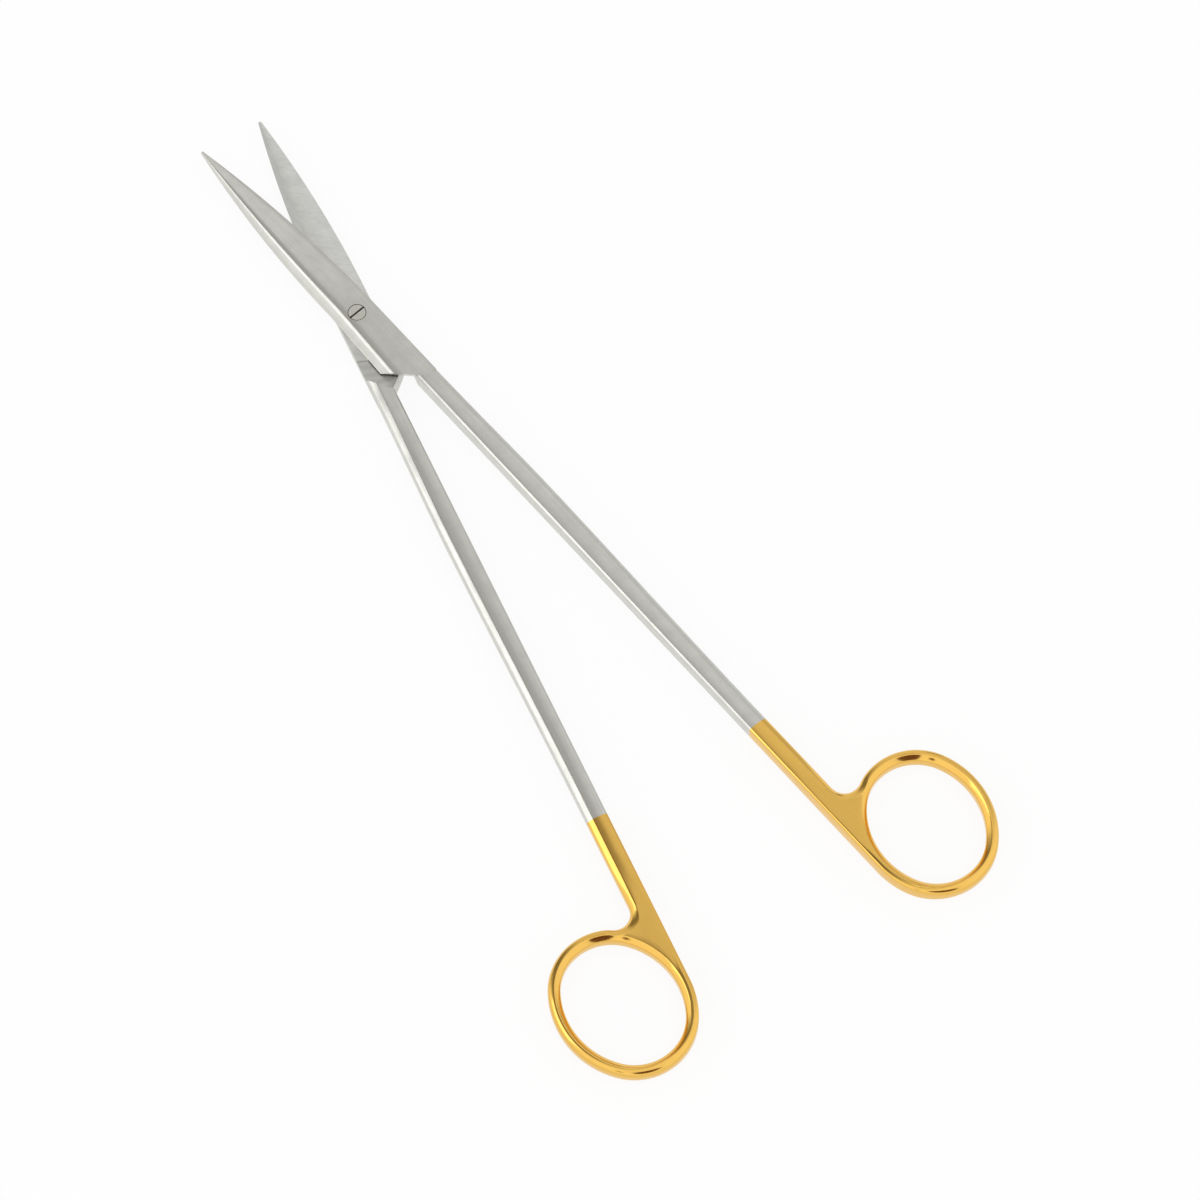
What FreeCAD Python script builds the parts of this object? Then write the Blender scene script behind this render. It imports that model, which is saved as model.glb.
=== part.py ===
import FreeCAD, Part
import math
import os
import Sketcher
from FreeCAD import Base, Placement, Rotation

# Dissecting scissors, long and slim, with straight pointed blades and oval finger rings.
# One forged half is modelled once and used twice: as the upper half, and turned over as the lower.
# Frame of the assembly: origin on the pivot axis at the flat underside of the joint,
# +Y along the line that halves the opening, towards the tips, +Z up.
# Frame of a half: ride face on the XY plane, +Y towards the tip, cutting edge and ring on +X.

doc = FreeCAD.newDocument("dissecting_scissors")
dims = doc.addObject("Spreadsheet::Sheet", "dims")

# Driving dimensions in millimetres and degrees
SIZES = [
    # Pose and clearances
    ("half_opening", 7.75),
    ("ride_gap", 0.04),
    ("screw_clearance", 0.03),
    ("closing_gap", 0.08),
    ("nest_gap", 0.4),
    # Blade outline: widths from the centre line to the back and to the cutting edge
    ("tip_reach", 52.0),
    ("blade_start", 3.5),
    ("back_start", 4.3),
    ("back_mid", 3.4),
    ("back_tip", 0.35),
    ("edge_start", 4.3),
    ("edge_mid", 3.35),
    ("edge_tip", 0.3),
    # Blade section
    ("half_thickness", 2.2),
    ("spine_tip", 0.45),
    ("back_bevel", 1.68),
    ("knee_inset", 1.03),
    ("knee_height", 1.28),
    ("land_mid", 0.8),
    ("land_tip", 0.2),
    ("land_lean", 0.35),
    ("facet_width", 1.3),
    ("facet_drop", 0.5),
    # Joint
    ("joint_end", 20.5),
    ("back_joint", 5.2),
    ("notch_reach", 19.3),
    ("step_lean", 20.0),
    ("relief_radius", 10.3),
    ("relief_depth", 0.12),
    # Shank
    ("inner_break", 0.45),
    ("belly_reach", 55.0),
    ("belly_width", 4.85),
    ("belly_height", 4.25),
    ("belly_drop", 0.8),
    # Handle: where it starts and where its facets begin, from the ring's centre
    ("handle_start", 21.0),
    ("taper_reach", 43.0),
    ("handle_width", 4.35),
    ("handle_drop", 0.9),
    # Finger ring
    ("ring_height", 4.0),
    ("ring_reach", 161.0),
    ("opening_long", 13.5),
    ("opening_short", 11.15),
    ("oval_taper", 1.15),
    ("ring_wire", 2.5),
    ("ring_turn", 77.0),
    ("crotch_radius", 3.5),
    ("ring_round", 1.1),
    ("opening_break", 0.5),
    # Carbide insert
    ("insert_start", 4.5),
    ("insert_width", 1.3),
    ("insert_depth", 0.75),
    ("insert_tip_width", 0.3),
    ("insert_tip_depth", 0.15),
    # Pivot screw
    ("head_diameter", 3.8),
    ("head_height", 0.9),
    ("head_break", 0.1),
    ("screw_diameter", 2.4),
    ("slot_width", 0.4),
    ("slot_depth", 0.45),
    ("slot_turn", 10.5),
]
for row, (alias, value) in enumerate(SIZES, start=1):
    dims.set(f"A{row}", alias)
    dims.set(f"B{row}", str(value))
    dims.setAlias(f"B{row}", alias)
doc.recompute()

# Stations along the blade, as shares of the way from its start to the tip
BLADE_STATIONS = (0.0, 0.22, 0.46, 0.7, 0.88, 1.0)
# How far every cutter runs past the metal
PAST = 1.0
# How far the joint's cutters run to each side of the pivot
CUTTER_REACH = 12.0
# A line at 45 degrees leaves its two sides this much longer than the way across it
DIAGONAL = math.sqrt(2)
# Two places count as one within this
CLOSE = 0.01


class Span:
    """A length on the sheet, or worked out from it: its number now, and the expression for it."""

    def __init__(self, number, text):
        self.number = number
        self.text = text

    def joined(self, sign, other, number):
        return Span(number, f"({self.text} {sign} {spanned(other).text})")

    def __add__(self, other):
        return self.joined("+", other, self.number + spanned(other).number)

    def __sub__(self, other):
        return self.joined("-", other, self.number - spanned(other).number)

    def __mul__(self, other):
        return self.joined("*", other, self.number * spanned(other).number)

    def __truediv__(self, other):
        return self.joined("/", other, self.number / spanned(other).number)

    def __neg__(self):
        return Span(-self.number, f"(0 - {self.text})")

    def __rmul__(self, other):
        return spanned(other) * self


def spanned(value):
    """A Span as it is, or a plain number as one."""
    return value if isinstance(value, Span) else Span(float(value), f"({float(value)!r})")


def size(alias):
    """A size of the sheet."""
    return Span(float(dims.get(alias)), f"dims.{alias}")


def quadratic(share, start, middle, end):
    """A size that runs smoothly through three given ones along the blade."""
    return (
        start * ((1 - share) * (1 - 2 * share))
        + middle * (4 * share * (1 - share))
        + end * (share * (2 * share - 1))
    )


def new_sketch(body, name, role, offset=0.0):
    """A sketch on one of the body's base planes, moved along the plane's normal."""
    plane = next(item for item in body.Origin.OriginFeatures if item.Role == role)
    sketch = body.newObject("Sketcher::SketchObject", name)
    sketch.AttachmentSupport = (plane, [""])
    sketch.MapMode = "FlatFace"
    sketch.setExpression("AttachmentOffset.Base.z", spanned(offset).text)
    return sketch


def cross_section(body, name, reach):
    """A sketch across the half, reach millimetres from the pivot towards the tip."""
    return new_sketch(body, name, "XZ_Plane", -spanned(reach))


def bind(sketch, kind, places, span):
    """A dimension of the sketch that follows the sheet."""
    guess = math.radians(span.number) if kind == "Angle" else span.number
    number = sketch.addConstraint(Sketcher.Constraint(kind, *places, guess))
    sketch.setExpression(f"Constraints[{number}]", span.text)


def closed_outline(sketch, corners, rounds=None):
    """A closed outline through corners, counter-clockwise.

    rounds gives the radius of each quarter round, by the number of the corner that it leaves.
    """
    rounds = rounds or {}
    spans = [(spanned(x), spanned(y)) for x, y in corners]
    places = [Base.Vector(x.number, y.number, 0) for x, y in spans]
    count = len(places)
    for index, start in enumerate(places):
        end = places[(index + 1) % count]
        if index in rounds:
            bulge = (end - start) * (0.5 * math.tan(math.radians(22.5)))
            middle = (start + end) * 0.5 + Base.Vector(bulge.y, -bulge.x, 0)
            sketch.addGeometry(Part.Arc(start, middle, end))
        else:
            sketch.addGeometry(Part.LineSegment(start, end))
    for index in range(count):
        following = (index + 1) % count
        sketch.addConstraint(Sketcher.Constraint("Coincident", index, 2, following, 1))
    for index, (x, y) in enumerate(spans):
        bind(sketch, "DistanceX", (-1, 1, index, 1), x)
        bind(sketch, "DistanceY", (-1, 1, index, 1), y)
    for index, radius in rounds.items():
        bind(sketch, "Radius", (index,), radius)


def circle(sketch, radius):
    """A circle about the pivot axis."""
    rim = Part.Circle(Base.Vector(0, 0, 0), Base.Vector(0, 0, 1), radius.number)
    number = sketch.addGeometry(rim)
    sketch.addConstraint(Sketcher.Constraint("Coincident", number, 3, -1, 1))
    bind(sketch, "Radius", (number,), radius)


def loft(body, name, sketches, ruled=False):
    """Metal through cross-sections, in their order."""
    feature = body.newObject("PartDesign::AdditiveLoft", name)
    feature.Profile = (sketches[0], [""])
    feature.Sections = [(sketch, [""]) for sketch in sketches[1:]]
    feature.Ruled = ruled
    doc.recompute()
    return feature


def pad(body, name, sketch, length, midplane=False, backwards=False):
    """Metal on a sketch."""
    feature = body.newObject("PartDesign::Pad", name)
    feature.Profile = (sketch, [""])
    feature.setExpression("Length", spanned(length).text)
    feature.SideType = "Symmetric" if midplane else "One side"
    feature.Reversed = backwards
    doc.recompute()
    return feature


def pocket(body, name, sketch, depth, upwards, taper=None):
    """A cut from a sketch, which has to take some metal away."""
    before = body.Shape.Volume
    feature = body.newObject("PartDesign::Pocket", name)
    feature.Profile = (sketch, [""])
    feature.setExpression("Length", spanned(depth).text)
    feature.Reversed = upwards
    if taper is not None:
        feature.setExpression("TaperAngle", taper.text)
    doc.recompute()
    if body.Shape.Volume >= before:
        raise RuntimeError(f"{name} cuts nothing")
    return feature


def blade_corners(share):
    """The blade's section: ride face, cutting-edge land, outer facet, top, back bevel and knee."""
    start_land = size("half_thickness") - size("facet_drop")
    back = quadratic(share, size("back_start"), size("back_mid"), size("back_tip"))
    edge = quadratic(share, size("edge_start"), size("edge_mid"), size("edge_tip"))
    land = quadratic(share, start_land, size("land_mid"), size("land_tip"))
    thinning = (size("half_thickness") - size("spine_tip")) * (share * share)
    spine = size("half_thickness") - thinning
    slimness = back / size("back_start")
    thinness = spine / size("half_thickness")
    land_foot = edge - size("land_lean") * land * share
    facet = size("facet_width") * (edge / size("edge_start"))
    return [
        (-back, 0),
        (edge, 0),
        (land_foot, land),
        (land_foot - facet, land + size("facet_drop") * thinness),
        (size("back_bevel") * slimness - back, spine),
        (size("knee_inset") * slimness - back, size("knee_height") * thinness),
    ]


def joint_corners():
    """The joint's section at its far end: the blade's first one with a wider back."""
    widening = size("back_joint") - size("back_start")
    corners = blade_corners(0.0)
    for index in (0, 4, 5):
        x, z = corners[index]
        corners[index] = (x - widening, z)
    return corners


def slant():
    """How far the step and the shoulder lean along Y, per millimetre of height."""
    lean = size("step_lean")
    return Span(math.tan(math.radians(lean.number)), f"tan({lean.text})") * DIAGONAL


def build_blade():
    """The joint's plate and the blade, with the ride face on the XY plane."""
    body = doc.addObject("PartDesign::Body", "blade_and_joint")
    far = cross_section(body, "joint_end_section", -size("joint_end"))
    closed_outline(far, joint_corners())
    near = cross_section(body, "joint_start_section", size("blade_start"))
    closed_outline(near, blade_corners(0.0))
    loft(body, "joint_plate", [far, near], ruled=True)

    # The ride face is left full in a disc about the pivot, and is relieved beyond it
    relief = new_sketch(body, "relief_outline", "XY_Plane")
    circle(relief, size("relief_radius"))
    circle(relief, size("joint_end") + CUTTER_REACH)
    pocket(body, "relief", relief, size("relief_depth"), upwards=True)

    # The slanted step that seats beside the other half's shoulder
    height = size("half_thickness") + PAST
    apex = slant() * size("half_thickness") - size("notch_reach")
    step = new_sketch(body, "step_outline", "XY_Plane")
    reach = spanned(CUTTER_REACH)
    closed_outline(step, [(-reach, apex + reach), (-reach, apex - reach), (reach, apex - reach)])
    pocket(body, "step", step, height, upwards=True, taper=-size("step_lean"))

    length = size("tip_reach") - size("blade_start")
    sections = []
    for number, share in enumerate(BLADE_STATIONS):
        reach = size("blade_start") + length * share
        sketch = cross_section(body, f"blade_section_{number}", reach)
        closed_outline(sketch, blade_corners(share))
        sections.append(sketch)
    loft(body, "blade", sections)
    return body


def shank_corners(width, height, inner_edge, facet, drop):
    """The shank's section: lightly broken inner edges, and a facet on each outer edge."""
    inner = size("closing_gap")
    outer = inner + width
    top = height / 2
    return [
        (inner + inner_edge, -top),
        (outer - facet, -top),
        (outer, drop - top),
        (outer, top - drop),
        (outer - facet, top),
        (inner + inner_edge, top),
        (inner, top - inner_edge),
        (inner, inner_edge - top),
    ]


def root_corners():
    """The shank's section at the joint, whose outer side carries on the joint's."""
    width = size("edge_start") - size("closing_gap")
    height = size("half_thickness") * 2
    return shank_corners(
        width, height, size("inner_break"), size("facet_width"), size("facet_drop")
    )


class Oval:
    """An oval of four arcs, each tangent to the next.

    Its ends are drawn in: their radius is less by taper than half the oval's width.
    """

    def __init__(self, half_long, half_short, taper):
        self.end_radius = half_short - taper
        square = half_long * half_long + half_short * half_short
        self.side_radius = (square - half_long * self.end_radius * 2) / (taper * 2)
        self.end_shift = half_long - self.end_radius
        self.side_shift = self.side_radius - half_short

    def draw(self, sketch):
        """The oval about the sketch's origin, its long axis along the sketch's X."""
        end, side = self.end_shift.number, self.side_shift.number
        joint = math.atan2(side, end)
        ends, sides = self.end_radius, self.side_radius
        arcs = (
            (end, 0, ends, -joint, joint),
            (0, -side, sides, joint, math.pi - joint),
            (-end, 0, ends, math.pi - joint, math.pi + joint),
            (0, side, sides, math.pi + joint, 2 * math.pi - joint),
        )
        for x, y, radius, start, finish in arcs:
            whole = Part.Circle(Base.Vector(x, y, 0), Base.Vector(0, 0, 1), radius.number)
            number = sketch.addGeometry(Part.ArcOfCircle(whole, start, finish))
            bind(sketch, "Radius", (number,), radius)
        for number in range(4):
            following = (number + 1) % 4
            sketch.addConstraint(Sketcher.Constraint("Tangent", number, 2, following, 1))
        for number in (0, 2):
            sketch.addConstraint(Sketcher.Constraint("PointOnObject", number, 3, -1))
        bind(sketch, "DistanceX", (-1, 1, 0, 3), self.end_shift)
        bind(sketch, "DistanceX", (2, 3, -1, 1), self.end_shift)


def ring_sketch(body, name, oval, centre, height=0.0):
    """A sketch of an oval about the ring's centre, at the ring's angle."""
    sketch = new_sketch(body, name, "XY_Plane", height)
    sketch.setExpression("AttachmentOffset.Base.x", centre[0].text)
    sketch.setExpression("AttachmentOffset.Base.y", centre[1].text)
    sketch.setExpression("AttachmentOffset.Rotation.Angle", size("ring_turn").text)
    oval.draw(sketch)
    return sketch


def edges_in(feature, wanted):
    """The names of a feature's edges whose bounding boxes pass a test."""
    numbered = enumerate(feature.Shape.Edges, start=1)
    names = [f"Edge{number}" for number, edge in numbered if wanted(edge.BoundBox)]
    if not names:
        raise RuntimeError(f"{feature.Name} has none of the edges")
    return names


def fillet(body, name, feature, names, radius):
    """Rounds on edges of a feature."""
    rounding = body.newObject("PartDesign::Fillet", name)
    rounding.Base = (feature, names)
    rounding.setExpression("Radius", radius.text)
    doc.recompute()
    return rounding


def chamfer(body, name, feature, names, width):
    """Edges of a feature, broken at 45 degrees."""
    breaking = body.newObject("PartDesign::Chamfer", name)
    breaking.Base = (feature, names)
    breaking.setExpression("Size", width.text)
    doc.recompute()
    return breaking


def build_handle():
    """The finger ring and the shank, with the joint's centre plane on the XY plane."""
    body = doc.addObject("PartDesign::Body", "ring_and_shank")
    inner = size("closing_gap")
    outer = inner + size("handle_width")
    long, short, wire = size("opening_long"), size("opening_short"), size("ring_wire")
    opening_oval = Oval(long, short, size("oval_taper"))
    ring_oval = Oval(long + wire, short + wire, size("oval_taper"))
    # The side arc that faces the shank touches the line of the shank's inner side
    turn = size("ring_turn")
    angle = math.radians(turn.number)
    along, across = Span(math.cos(angle), f"cos({turn.text})"), Span(math.sin(angle), f"sin({turn.text})")
    extent = ring_oval.side_radius - ring_oval.side_shift * across
    centre = (inner + extent, -size("ring_reach"))
    foot = centre[1] - ring_oval.side_shift * along
    start = size("handle_start") - size("ring_reach")

    # The ring, flat at first, and the strip of shank that runs into its straight side
    outline = ring_sketch(body, "ring_outline", ring_oval, centre)
    pad(body, "ring_plate", outline, size("ring_height"), midplane=True)
    strip = new_sketch(body, "strip_outline", "XY_Plane")
    closed_outline(strip, [(inner, foot), (outer, foot), (outer, start), (inner, start)])
    plate = pad(body, "strip_plate", strip, size("ring_height"), midplane=True)

    # The crotch between the shank and the ring
    def in_crotch(box):
        upright = box.XLength < CLOSE and box.YLength < CLOSE
        return upright and abs(box.XMin - outer.number) < CLOSE and box.YMax < start.number - PAST

    whole = fillet(body, "crotch", plate, edges_in(plate, in_crotch), size("crotch_radius"))
    outside = [edge.BoundBox.Center for edge in whole.Shape.Edges]
    opening = ring_sketch(body, "opening_outline", opening_oval, centre, -size("ring_height"))
    flat_ring = pocket(body, "opening", opening, size("ring_height") * 2, upwards=True)

    # The opening's rims are lightly broken, and the outer ones rounded up to where the shank goes on
    def on_rim(box, outer):
        level = box.ZLength < CLOSE and abs(abs(box.ZMin) - size("ring_height").number / 2) < CLOSE
        known = any((box.Center - place).Length < CLOSE for place in outside)
        return level and box.YMin < start.number - CLOSE and known == outer

    names = edges_in(flat_ring, lambda box: on_rim(box, False))
    broken = chamfer(body, "opening_rims", flat_ring, names, size("opening_break"))
    names = edges_in(broken, lambda box: on_rim(box, True))
    fillet(body, "rims", broken, names, size("ring_round"))

    # The shank's end takes up the ring's rounded rims, and its rest has flat facets
    rounded = size("ring_round")
    facets = [size("inner_break"), size("facet_width"), size("handle_drop")]
    slim = (size("handle_width"), size("ring_height"))
    handle = cross_section(body, "handle_section", start)
    corners = shank_corners(*slim, rounded, rounded, rounded)
    closed_outline(handle, corners, {index: rounded for index in (1, 3, 5, 7)})
    taper_start = size("taper_reach") - size("ring_reach")
    taper_end = cross_section(body, "taper_end_section", taper_start)
    closed_outline(taper_end, shank_corners(*slim, *facets))
    loft(body, "shank_end", [handle, taper_end], ruled=True)
    taper = cross_section(body, "taper_section", taper_start)
    closed_outline(taper, shank_corners(*slim, *facets))
    belly = cross_section(body, "belly_section", -size("belly_reach"))
    facets[2] = size("belly_drop")
    closed_outline(belly, shank_corners(size("belly_width"), size("belly_height"), *facets))
    neck = cross_section(body, "neck_section", -size("joint_end"))
    closed_outline(neck, root_corners())
    loft(body, "shank", [taper, belly, neck])

    # The root, at full height up to the shoulder that stops the other half's step
    root = cross_section(body, "root_section", -size("joint_end"))
    closed_outline(root, root_corners())
    reach = spanned(CUTTER_REACH)
    pad(body, "root", root, size("joint_end") - reach, backwards=True)
    shoulder = new_sketch(body, "shoulder_outline", "XY_Plane", size("relief_depth"))
    depth = size("half_thickness") + size("relief_depth")
    apex = slant() * depth - size("notch_reach") - size("nest_gap") * DIAGONAL
    closed_outline(shoulder, [(-reach, apex - reach), (reach, apex + reach), (-reach, apex + reach)])
    pocket(body, "shoulder", shoulder, depth + PAST, upwards=False, taper=size("step_lean"))
    return body


def build_insert_blank():
    """The seat of the edge insert: a wedge along the cutting edge, past the metal outside."""
    body = doc.addObject("PartDesign::Body", "insert_seat")
    sections = []
    past = size("edge_start") + PAST
    for name, reach, edge, width, depth in (
        ("start", size("insert_start"), "edge_start", "insert_width", "insert_depth"),
        ("end", size("tip_reach") + PAST, "edge_tip", "insert_tip_width", "insert_tip_depth"),
    ):
        sketch = cross_section(body, f"seat_{name}", reach)
        seat, depth = size(edge) - size(width), size(depth)
        closed_outline(sketch, [(seat, -PAST), (past, -PAST), (past, depth), (seat, depth)])
        sections.append(sketch)
    loft(body, "seat", sections, ruled=True)
    return body


def cylinder(name, radius, height, base):
    """A round cutter on the pivot axis."""
    item = doc.addObject("Part::Cylinder", name)
    item.setExpression("Radius", radius.text)
    item.setExpression("Height", spanned(height).text)
    item.setExpression("Placement.Base.z", spanned(base).text)
    return item


def boolean(kind, name, base, tool):
    """One shape cut by another, or the piece that both share."""
    item = doc.addObject(kind, name)
    item.Base = base
    item.Tool = tool
    return item


def join(name, items):
    """Several shapes as one."""
    item = doc.addObject("Part::MultiFuse", name)
    item.Shapes = items
    item.Refine = True
    return item


def build_screw():
    """The pivot screw: a slotted head let into the upper half, and a shank threaded in the lower."""
    body = doc.addObject("PartDesign::Body", "pivot_screw")
    stack = size("half_thickness") * 2 + size("ride_gap")
    shank = new_sketch(body, "screw_outline", "XY_Plane")
    circle(shank, size("screw_diameter") / 2)
    pad(body, "screw_shank", shank, stack)
    head = new_sketch(body, "head_outline", "XY_Plane", stack - size("head_height"))
    circle(head, size("head_diameter") / 2)
    top = pad(body, "screw_head", head, size("head_height"))

    # The head's rim, lightly broken
    def on_top(box):
        return box.ZMin > stack.number - CLOSE

    chamfer(body, "head_chamfer", top, edges_in(top, on_top), size("head_break"))

    # The slot, right across the head
    slot = new_sketch(body, "slot_outline", "XY_Plane", stack - size("slot_depth"))
    slot.setExpression("AttachmentOffset.Rotation.Angle", size("slot_turn").text)
    length = size("head_diameter") / 2 + PAST
    side = size("slot_width") / 2
    closed_outline(slot, [(-length, -side), (length, -side), (length, side), (-length, side)])
    pocket(body, "slot", slot, size("slot_depth") + PAST, upwards=True)
    return body


# One forging, and the seat that its insert is brazed into
forging = join("forging", [build_blade(), build_handle()])
seat = build_insert_blank()

# The upper half has a plain bore with a recess for the screw's head, the lower half a threaded one
clearance = size("screw_clearance")
bore_radius = size("screw_diameter") / 2 + clearance
head_radius = size("head_diameter") / 2 + clearance
tall = size("half_thickness") + 2 * PAST
upper_bore = cylinder("upper_bore", bore_radius, tall, -PAST)
head_seat = size("half_thickness") - size("head_height") - clearance
head_recess = cylinder("head_recess", head_radius, size("head_height") + clearance + PAST, head_seat)
lower_bore = cylinder("lower_bore", bore_radius, tall, -PAST)
upper_tools = join("upper_tools", [seat, upper_bore, head_recess])
lower_tools = join("lower_tools", [seat, lower_bore])

# The five pieces, in the order in which they go together
lower_half = boolean("Part::Cut", "lower_half", forging, lower_tools)
lower_insert = boolean("Part::Common", "lower_edge_insert", forging, seat)
upper_half = boolean("Part::Cut", "upper_half", forging, upper_tools)
upper_insert = boolean("Part::Common", "upper_edge_insert", forging, seat)
screw = build_screw()

# The upper half opens to one side, and the lower is turned over about an axis in its ride face
opening = size("half_opening").text
for piece in (upper_half, upper_insert):
    piece.setExpression("Placement.Base.z", "dims.half_thickness + dims.ride_gap")
    piece.setExpression("Placement.Rotation.Angle", opening)
for piece in (lower_half, lower_insert):
    piece.Placement = Placement(Base.Vector(0, 0, 0), Rotation(Base.Vector(0, 1, 0), 180))
    piece.setExpression("Placement.Base.z", "dims.half_thickness")
    piece.setExpression("Placement.Rotation.Axis.x", f"sin({opening} / 2)")
    piece.setExpression("Placement.Rotation.Axis.y", f"cos({opening} / 2)")
doc.recompute()

for item in doc.Objects:
    if "Invalid" in item.State or "Error" in item.State:
        raise RuntimeError(f"{item.Name} isn't valid")

os.makedirs("parts", exist_ok=True)
for piece in (lower_half, lower_insert, screw, upper_half, upper_insert):
    piece.Label = piece.Name
    shape = piece.Shape
    if shape.isNull() or not shape.isValid() or len(shape.Solids) != 1:
        raise RuntimeError(f"{piece.Name} isn't one sound solid")
    shape.exportStep(f"parts/{piece.Label}.step")
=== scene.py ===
import math
import bmesh
import bpy
from mathutils import Matrix, Vector


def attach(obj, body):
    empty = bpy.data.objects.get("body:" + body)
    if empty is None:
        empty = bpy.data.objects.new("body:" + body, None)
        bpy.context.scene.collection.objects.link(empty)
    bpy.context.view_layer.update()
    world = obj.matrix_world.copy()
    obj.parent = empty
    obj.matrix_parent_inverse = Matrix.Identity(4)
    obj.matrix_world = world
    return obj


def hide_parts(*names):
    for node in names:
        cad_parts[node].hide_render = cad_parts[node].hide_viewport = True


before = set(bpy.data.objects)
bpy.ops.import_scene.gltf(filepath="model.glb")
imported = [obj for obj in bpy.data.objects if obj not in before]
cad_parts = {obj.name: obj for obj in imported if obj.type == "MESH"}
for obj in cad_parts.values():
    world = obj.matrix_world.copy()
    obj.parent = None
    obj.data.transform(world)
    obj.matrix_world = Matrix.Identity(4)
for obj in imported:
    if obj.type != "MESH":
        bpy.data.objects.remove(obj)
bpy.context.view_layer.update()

# Forged halves: each is one stainless forging with its blade, lapped joint plate, shank and ring.
# The upper one lies on top at the joint, and the lower one is the same shape turned over. Rings
# and shank ends are polished and gold plated, and the rest is satin ground lengthwise.

# Lengths are in millimetres, in a half's own frame: the pivot at the origin, the ride face at
# height 0 and the blade along +Y
MILLIMETRE = 0.001
HALF_OPENING = math.radians(7.75)
HALF_THICKNESS = 2.2
RIDE_GAP = 0.04
INNER_SIDE = 0.08

# The ring's opening is an oval of four arcs: its half axes, how much its ends are drawn in, the
# width of the wire round it, half its height and its turn
OPENING_LONG, OPENING_SHORT, OVAL_TAPER = 13.5, 11.15, 1.15
RING_WIRE, RING_HALF_HEIGHT, RING_TURN = 2.5, 2.0, 77.0
END_RADIUS = OPENING_SHORT - OVAL_TAPER
SIDE_RADIUS = (OPENING_LONG**2 + OPENING_SHORT**2 - 2 * OPENING_LONG * END_RADIUS) / (2 * OVAL_TAPER)
END_SHIFT, SIDE_SHIFT = OPENING_LONG - END_RADIUS, SIDE_RADIUS - OPENING_SHORT
RING_EXTENT = SIDE_RADIUS + RING_WIRE - SIDE_SHIFT * math.sin(math.radians(RING_TURN))
RING_CENTRE = Vector((INNER_SIDE + RING_EXTENT, -161.0))

# The mouth is where the ring's web meets the shank, and the crotch rounds its outer corner
MOUTH, MOUTH_WIDTH, CROTCH_RADIUS = -143.2, 4.35, 3.5
OUTER_SIDE = INNER_SIDE + MOUTH_WIDTH

# Degrees round the opening, to the points that face the ring's innermost point and the mouth's
# inner and outer corner
INNERMOST = 180 - RING_TURN
INNER_CORNER, OUTER_CORNER = 75.8, 360 + 68.0

# Where the web meets the shank: the inner rim's break and rounding, and the outer rim
INNER_BREAK, INNER_ROUND = 0.3, 0.35
MOUTH_RIM = (1.1, 0.95, 0.9)

# A rim is its facet across, its facet down and its rounding. The outer rim changes round the ring
OPENING_RIM = (1.05, 0.95, 0.55)
RIM_KEYS = (
    (INNER_CORNER, (INNER_BREAK, INNER_BREAK, INNER_ROUND)),
    (INNERMOST, (0.35, 0.35, 0.5)),
    (186.0, (0.8, 0.9, 1.5)),
    (389.5, (0.8, 0.9, 1.5)),
    (410.0, (1.5, 1.1, 2.4)),
    (OUTER_CORNER, MOUTH_RIM),
)
WEB_STEPS, RING_STEPS, CROTCH_STEPS, TOP_STEPS, ARC_STEPS = 20, 170, 20, 7, 3
RIM_POINTS = 2 * (ARC_STEPS + 1)

# How far a rounding of radius 1 reaches from a corner that turns by 45 degrees, and how much of
# a top face lies beside a rim
ROUNDING_REACH = math.tan(math.radians(22.5))
FACE_BESIDE = 4.0

# The face's crown in the middle, what it loses for each millimetre of width, and the least crown
CROWN, CROWN_LOSS, LEAST_CROWN = 0.09, 0.02, 0.01

# The share of the way to the mouth's corner that the crotch's facing points go, and how exact
# the crotch's own angle is
CROTCH_SHARE = 0.95
CROTCH_EXACTNESS = 0.001

# Points closer than the first are one, and edges shorter than the second are slivers
TOUCHING, SLIVER = 0.002, 0.0005


def mix(first, second, share):
    return first + (second - first) * share


def eased(share):
    share = min(max(share, 0.0), 1.0)
    return share * share * (3 - 2 * share)


def along_keys(keys, place):
    """The values between the keys on both sides of a place, eased from one to the next."""
    for (low, first), (high, second) in zip(keys, keys[1:]):
        if low <= place <= high:
            share = eased((place - low) / (high - low))
            return [mix(a, b, share) for a, b in zip(first, second)]
    raise ValueError(place)


def arc_at(before, corner, after, radius, steps=ARC_STEPS):
    """A polygon's corner, rounded by an arc that leaves its two sides room for others."""
    one = (before - corner).normalized()
    two = (after - corner).normalized()
    opening = one.angle(two)
    room = 0.49 * min((before - corner).length, (after - corner).length)
    reach = min(radius / math.tan(opening / 2), room)
    true_radius = reach * math.tan(opening / 2)
    centre = corner + (one + two).normalized() * (true_radius / math.sin(opening / 2))
    start, end = corner + one * reach - centre, corner + two * reach - centre
    turn = start.angle_signed(end)
    rounds = [Matrix.Rotation(-turn * step / steps, 2) for step in range(steps + 1)]
    return [centre + rotation @ start for rotation in rounds]


def edge_profile(facet_in, facet_down, radius, height):
    """The rim from the top face to the side: (distance from the side, height) pairs."""
    top = Vector((facet_in, height))
    side = Vector((0.0, height - facet_down))
    inboard, below = Vector((facet_in + FACE_BESIDE, height)), Vector((0.0, -height))
    # The facet has room for a rounding at each end
    radius = min(radius, math.hypot(facet_in, facet_down) / (2.05 * ROUNDING_REACH))
    return arc_at(inboard, top, side, radius) + arc_at(top, side, below, radius)


def skin(bm, rows, closed=False):
    """A skin bridged from each row of points to the next."""
    rings = []
    edges = []
    for row in rows:
        ring = [bm.verts.new(point) for point in row]
        pairs = zip(ring, ring[1:] + ring[:1]) if closed else zip(ring, ring[1:])
        rings.append(ring)
        edges.append([bm.edges.new(pair) for pair in pairs])
    for first, second in zip(edges, edges[1:]):
        bmesh.ops.bridge_loops(bm, edges=first + second)
    return rings


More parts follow.
